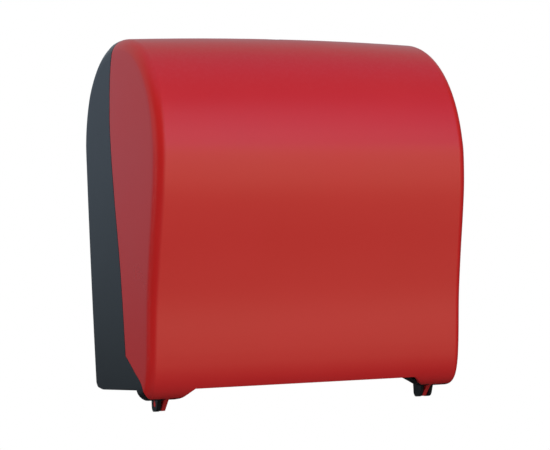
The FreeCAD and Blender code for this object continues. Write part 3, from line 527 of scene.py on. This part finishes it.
def drawn_metal(name, colour, roughness, lines):
    """A rolled, drawn or ground metal, with fine lines along one direction."""
    finish = bpy.data.materials.new(name)
    finish.use_nodes = True
    tree = finish.node_tree
    shader = tree.nodes["Principled BSDF"]
    shader.inputs["Metallic"].default_value = 1.0
    place = tree.nodes.new("ShaderNodeTexCoord")
    stretch = tree.nodes.new("ShaderNodeMapping")
    stretch.inputs["Scale"].default_value = lines
    tree.links.new(place.outputs["Object"], stretch.inputs["Vector"])
    line = noise(tree, stretch.outputs["Vector"], 5.0, 0.6)
    line.inputs["Scale"].default_value = 1.0
    cloud = noise(tree, place.outputs["Object"], 3.0, 0.6)
    cloud.inputs["Scale"].default_value = 90.0
    dark = tuple(c * 0.72 for c in colour)
    tone = blend_colours(tree, spread_to(tree, line.outputs["Fac"], 0.35, 0.65), dark, colour)
    tone = blend_colours(tree, spread_to(tree, cloud.outputs["Fac"], 0.4, 0.75, 0.0, 0.35), tone, dark)
    tree.links.new(tone, shader.inputs["Base Color"])
    rough = spread_to(tree, cloud.outputs["Fac"], 0.3, 0.7, roughness - 0.06, roughness + 0.08)
    tree.links.new(rough, shader.inputs["Roughness"])
    bump = tree.nodes.new("ShaderNodeBump")
    bump.inputs["Distance"].default_value = 0.000012
    bump.inputs["Strength"].default_value = 0.5
    tree.links.new(line.outputs["Fac"], bump.inputs["Height"])
    tree.links.new(bump.outputs["Normal"], shader.inputs["Normal"])
    return finish


def from_solid(node, name, width, finish, body):
    """A piece with the shape of a solid, its loose triangles merged and its moulded edges rounded."""
    piece = bpy.data.objects.new(name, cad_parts[node].data.copy())
    bpy.context.scene.collection.objects.link(piece)
    pick_only(piece)
    bpy.ops.object.mode_set(mode="EDIT")
    bpy.ops.mesh.select_all(action="SELECT")
    bpy.ops.mesh.remove_doubles(threshold=2e-6)
    bpy.ops.mesh.dissolve_limited(angle_limit=math.radians(0.6))
    bpy.ops.object.mode_set(mode="OBJECT")
    soften(piece, width)
    finish_with(piece, finish, body)
    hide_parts(node)
    return piece


bright_zinc = drawn_metal("bright_zinc", (0.62, 0.64, 0.66), 0.28, (60.0, 900.0, 900.0))
screw_zinc = drawn_metal("screw_zinc", (0.5, 0.51, 0.53), 0.32, (400.0, 400.0, 400.0))
from_solid("lock_keeper", "keeper_hook", 0.3, bright_zinc, "case")
from_solid("keeper_screws", "keeper_screw_pair", 0.1, screw_zinc, "case")

# Roll arms. Two dark acetal arms that swing outwards on upright steel pins, pressed in by torsion springs
# round the pins, so that a roll snaps in between their hubs.
arm_acetal = moulded_plastic("arm_dark_acetal", (0.035, 0.037, 0.041), (0.05, 0.052, 0.056), 0.42)
from_solid("arm_pins", "arm_pin_pair", 0.2, bright_zinc, "case")
for name in ("left", "right"):
    from_solid("roll_arm_" + name, name + "_roll_arm", 0.5, arm_acetal, "arm_" + name)
    from_solid("hub_axle_" + name, name + "_hub_axle", 0.25, bright_zinc, "arm_" + name)

# Roll hubs. Pale acetal plugs with a flange and six ribs inside; they turn on the axles of the arms and
# carry the core of the paper roll.
hub_acetal = moulded_plastic("hub_grey_acetal", (0.5, 0.5, 0.48), (0.58, 0.58, 0.56), 0.4)
for name in ("left", "right"):
    from_solid("roll_hub_" + name, name + "_roll_hub", 0.4, hub_acetal, "hub_" + name)

# Springs. Hard-drawn wire, wound on a mandrel: torsion springs on the arm pins and beside the knife, and
# the long extension spring that turns the drum home.
spring_wire = drawn_metal("spring_wire", (0.42, 0.42, 0.44), 0.3, (300.0, 300.0, 300.0))
for node, name, body in (("arm_spring_left", "left_arm_spring", "case"),
                         ("arm_spring_right", "right_arm_spring", "case"),
                         ("return_spring", "drum_return_spring", "case"),
                         ("knife_springs", "knife_spring_pair", "drum")):
    from_solid(node, name, 0.05, spring_wire, body)

# Frame of the cutting unit. Two ribbed ABS side plates with the paper guides snapped between them, two
# steel tie bars and the screws that hold the unit to its bosses in the case.
frame_abs = moulded_plastic("frame_dark_abs", (0.05, 0.053, 0.058), (0.065, 0.068, 0.073), 0.45)
for node, name, width in (("side_plate_left", "left_side_plate", 0.5),
                          ("side_plate_right", "right_side_plate", 0.5),
                          ("front_guard", "drum_front_guard", 0.4), ("rear_guide", "paper_rear_guide", 0.4),
                          ("lower_chute", "paper_lower_chute", 0.25),
                          ("spring_housing", "return_spring_housing", 0.5)):
    from_solid(node, name, width, frame_abs, "case")
from_solid("tie_bars", "tie_bar_pair", 0.3, bright_zinc, "case")
from_solid("module_screws", "unit_screws", 0.12, screw_zinc, "case")

# Drum bushes and knife cam. Natural acetal, turned and moulded: they run against steel and ABS without
# grease.
bush_acetal = moulded_plastic("bush_natural_acetal", (0.62, 0.6, 0.54), (0.7, 0.68, 0.62), 0.35)
from_solid("drum_bushes", "drum_bush_pair", 0.3, bush_acetal, "case")
from_solid("knife_cam", "knife_cam_plate", 0.3, bush_acetal, "case")

# Drum. Two half shells of ABS on two end discs, held by tie rods and screws, with bands of ground rubber
# let into the skin to grip the towel.
drum_abs = moulded_plastic("drum_dark_abs", (0.075, 0.078, 0.083), (0.09, 0.093, 0.098), 0.42)
grip_rubber = moulded_plastic("ground_rubber", (0.018, 0.018, 0.019), (0.04, 0.04, 0.041), 0.75,
                              grain_scale=700.0, grain_depth=0.00015)
for node, name in (("drum_shell_front", "drum_front_shell"), ("drum_shell_rear", "drum_rear_shell"),
                   ("drum_end_left", "drum_left_end"), ("drum_end_right", "drum_right_end")):
    from_solid(node, name, 0.3, drum_abs, "drum")
from_solid("drum_grips", "drum_grip_bands", 0.2, grip_rubber, "drum")
from_solid("drum_ties", "drum_tie_rods", 0.3, bright_zinc, "drum")
from_solid("drum_screws", "drum_end_screws", 0.12, screw_zinc, "drum")

# Knife. A toothed stainless strip riveted to an aluminium carrier, which swings on two pins inside the drum
# and is worked by a short lever with a roller on the left.
carrier_metal = drawn_metal("carrier_aluminium", (0.68, 0.69, 0.71), 0.36, (20.0, 1400.0, 1400.0))
blade_steel = drawn_metal("blade_stainless", (0.66, 0.67, 0.68), 0.22, (1600.0, 40.0, 40.0))
from_solid("knife_carrier", "knife_carrier_bar", 0.3, carrier_metal, "knife")
from_solid("knife_blade", "toothed_blade", 0.06, blade_steel, "knife")
from_solid("knife_rivets", "blade_rivets", 0.08, screw_zinc, "knife")
from_solid("knife_pins", "knife_pin_pair", 0.2, bright_zinc, "knife")
from_solid("knife_lever", "knife_cam_lever", 0.2, carrier_metal, "knife")
from_solid("cam_roller", "lever_roller", 0.2, bush_acetal, "knife")

# Feed wheel and crank. The wheel on the left end of the drum's axle is turned by thumb to feed the first
# towel; the crank on the right end pulls the return spring.
wheel_abs = moulded_plastic("wheel_blue_abs", (0.06, 0.12, 0.26), (0.08, 0.15, 0.3), 0.4)
from_solid("feed_wheel", "thumb_feed_wheel", 0.5, wheel_abs, "drum")
from_solid("crank_disc", "spring_crank", 0.4, bush_acetal, "drum")

# Pinch roller. Five rubber sleeves on a steel shaft, in two acetal blocks that slide in the side plates. A
# small compression spring over each block gives way by 3 mm of its 13 mm as the block lifts; here the
# springs keep their shape and stay with the case.
from_solid("pinch_blocks", "pinch_block_pair", 0.3, bush_acetal, "pinch_carriage")
from_solid("pinch_shaft", "pinch_roller_shaft", 0.3, bright_zinc, "pinch_roller")
from_solid("pinch_sleeves", "pinch_roller_sleeves", 0.4, grip_rubber, "pinch_roller")
pinch_springs = from_solid("pinch_springs", "pinch_spring_pair", 0.05, spring_wire, "case")
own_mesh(pinch_springs)

# Front cover. One red ABS moulding with a soft brow, a slightly hollow front and a curl into the feet. It
# swings down on stub pins moulded to its two tabs.
cover_abs = moulded_plastic("cover_red_abs", (0.465, 0.0135, 0.0115), (0.505, 0.018, 0.016), 0.3,
                            dust=0.06, shine=0.4)
tab_outline = rounded([(127.8, 1.6), (127.8, -12.5), (137.4, -12.5), (150.4, -1.4), (159.0, 0.1),
                       (163.0, 2.6), (163.0, 5.4), (146.0, 5.4), (143.6, 1.6)],
                      [4, 4, 2, 0, 0, 0, 1.5, 1, 0])
lock_e, lock_low, lock_radius = 118.5, 349.2, 12.0
front_cover = twin(outer_body, "front_cover_moulding")
combine(front_cover, case_side(0.8), "DIFFERENCE")
combine(front_cover, twin(inner_body, "inside"), "DIFFERENCE")
combine(front_cover, foot_arch(60, 260), "DIFFERENCE")
for side in (-1, 1):
    tab = across("tab", tab_outline, *pair(side, 140.2, 144.6))
    combine(tab, drum_of("stub", 3.0, at(side * 141.2, *hinge), at(side * 149.8, *hinge)), "UNION")
    combine(front_cover, tab, "UNION")
boss = drum_of("lock_boss", lock_radius + 2, at(0, lock_e, lock_low), at(0, lock_e, lock_low + 30), 64)
combine(boss, twin(outer_body, "top"), "INTERSECT")
combine(front_cover, boss, "UNION")
bore = drum_of("lock_bore", lock_radius, at(0, lock_e, lock_low - 5), at(0, lock_e, lock_low + 35), 64)
combine(front_cover, bore, "DIFFERENCE")
soften(front_cover, 0.35)
finish_with(front_cover, cover_abs, "cover")
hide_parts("front_cover")

# Lock. A plated zinc cam lock in the top of the cover: a ring, a barrel with a key slot, and a flat tongue
# held by one screw.
lock_nickel = drawn_metal("lock_nickel", (0.66, 0.65, 0.62), 0.24, (500.0, 500.0, 60.0))
from_solid("lock_housing", "lock_ring", 0.3, lock_nickel, "cover")
from_solid("lock_barrel", "lock_core", 0.2, lock_nickel, "lock")
from_solid("lock_tongue", "lock_cam", 0.25, bright_zinc, "lock")
from_solid("lock_screw", "lock_cam_screw", 0.2, screw_zinc, "lock")
for piece in (outer_body, inner_body):
    bpy.data.objects.remove(piece)

# Stage. A plain pale floor well below the dispenser, an even white backdrop, soft light from the front and
# the left with the reflections of a bright room, and a low camera, level with the foot of the dispenser.
bpy.ops.object.select_all(action="DESELECT")
bpy.ops.mesh.primitive_circle_add(vertices=96, radius=3.0, fill_type="NGON", location=(0, -0.1, -1.35))
floor = bpy.context.object
floor.name = "pale_floor"
floor_paint = bpy.data.materials.new("floor_paint")
floor_paint.use_nodes = True
tree = floor_paint.node_tree
shader = tree.nodes["Principled BSDF"]
shader.inputs["Roughness"].default_value = 0.6
shader.inputs["Emission Color"].default_value = (0.8, 0.8, 0.8, 1.0)
place = tree.nodes.new("ShaderNodeTexCoord")
mottle = noise(tree, place.outputs["Object"], 4.0, 0.5)
mottle.inputs["Scale"].default_value = 3.0
tree.links.new(blend_colours(tree, mottle.outputs["Fac"], (0.47, 0.47, 0.47), (0.52, 0.52, 0.52)),
               shader.inputs["Base Color"])
seen = tree.nodes.new("ShaderNodeLightPath")
tree.links.new(scaled(tree, seen.outputs["Is Camera Ray"], 0.5), shader.inputs["Emission Strength"])
floor.data.materials.append(floor_paint)
floor.visible_glossy = False

world = bpy.data.worlds.new("studio")
bpy.context.scene.world = world
world.use_nodes = True
tree = world.node_tree
place = tree.nodes.new("ShaderNodeTexCoord")
split = tree.nodes.new("ShaderNodeSeparateXYZ")
tree.links.new(place.outputs["Generated"], split.inputs["Vector"])


def sky_band(stops):
    """Brightness by height, from straight down (-1) over the horizon (0) to straight up (1)."""
    ramp = tree.nodes.new("ShaderNodeValToRGB")
    for _ in stops[2:]:
        ramp.color_ramp.elements.new(0.5)
    for element, (rise, colour) in zip(ramp.color_ramp.elements, stops):
        element.position = (rise + 1) / 2
        element.color = (*colour, 1.0)
    tree.links.new(spread_to(tree, split.outputs["Z"], -1.0, 1.0), ramp.inputs["Fac"])
    return ramp.outputs["Color"]


window = sky_band([(-1.0, (0.02, 0.02, 0.02)), (-0.7, (0.04, 0.03, 0.03)), (-0.33, (1.1, 0.98, 0.66)),
                   (-0.12, (1.8, 1.7, 1.22)), (0.08, (1.8, 1.75, 1.75)), (0.22, (1.38, 1.27, 1.9)),
                   (0.4, (0.95, 0.76, 1.55)), (0.6, (0.7, 0.6, 1.45)), (1.0, (0.7, 0.65, 1.55))])
backdrop = sky_band([(-1.0, (0.02, 0.02, 0.02)), (-0.06, (0.02, 0.02, 0.02)), (0.03, (0.15, 0.19, 0.22)),
                     (0.18, (0.31, 0.39, 0.49)), (0.5, (0.42, 0.47, 0.49)), (1.0, (0.3, 0.42, 0.45))])
toward = tree.nodes.new("ShaderNodeVectorMath")
toward.operation = "DOT_PRODUCT"
toward.inputs[1].default_value = (0.5, -0.866, 0.0)
tree.links.new(place.outputs["Generated"], toward.inputs[0])
ceiling = sky_band([(-1.0, (0.03, 0.025, 0.025)), (0.6, (0.03, 0.025, 0.025)), (0.9, (0.25, 0.33, 0.65)),
                    (1.0, (0.25, 0.33, 0.65))])
room = blend_colours(tree, spread_to(tree, toward.outputs["Value"], 0.55, 0.95), ceiling, window)
room = blend_colours(tree, spread_to(tree, split.outputs["Y"], 0.0, 0.5), room, backdrop)
room = blend_colours(tree, spread_to(tree, split.outputs["X"], 0.6, 0.92), room, (0.03, 0.025, 0.025))
seen = tree.nodes.new("ShaderNodeLightPath")
tree.links.new(blend_colours(tree, seen.outputs["Is Camera Ray"], room, (1.0, 1.0, 1.0)),
               tree.nodes["Background"].inputs["Color"])


def soft_light(name, place, target, width, height, power, colour):
    """A rectangular soft box at a place, turned to a target."""
    light = bpy.data.lights.new(name, "AREA")
    light.shape = "RECTANGLE"
    light.size = width
    light.size_y = height
    light.energy = power
    light.color = colour
    lamp = bpy.data.objects.new(name, light)
    bpy.context.scene.collection.objects.link(lamp)
    lamp.location = place
    lamp.rotation_euler = (Vector(target) - Vector(place)).to_track_quat("-Z", "Y").to_euler()
    lamp.visible_glossy = False


middle_of_part = (0, -0.1, 0.0)
soft_light("key_box", (0.05, -2.05, 1.0), middle_of_part, 1.8, 1.2, 31.0, (1.0, 0.98, 0.97))
soft_light("side_box", (-2.1, 0.35, 0.3), middle_of_part, 1.2, 1.2, 24.0, (1.0, 0.97, 0.97))

# The camera's angle and distance, as fitted to the outline in the photograph.
yaw, pitch, roll = (math.radians(angle) for angle in (22.369, -4.552, -2.8885))
back = Vector((-math.sin(yaw) * math.cos(pitch), -math.cos(yaw) * math.cos(pitch), math.sin(pitch)))
right = (-back).cross(Vector((0, 0, 1))).normalized()
up = right.cross(-back)
rolled_right = right * math.cos(roll) + up * math.sin(roll)
rolled_up = up * math.cos(roll) - right * math.sin(roll)
camera_data = bpy.data.cameras.new("photo_camera")
camera_data.sensor_width = 36.0
camera_data.lens = 118.61
camera_place = (-0.70976, -1.82694, -0.17756)
camera = bpy.data.objects.new("photo_camera", camera_data)
bpy.context.scene.collection.objects.link(camera)
turned = Matrix((rolled_right, rolled_up, back)).transposed().to_4x4()
camera.matrix_world = Matrix.Translation(camera_place) @ turned
bpy.context.scene.camera = camera
bpy.context.scene.view_settings.view_transform = "Standard"
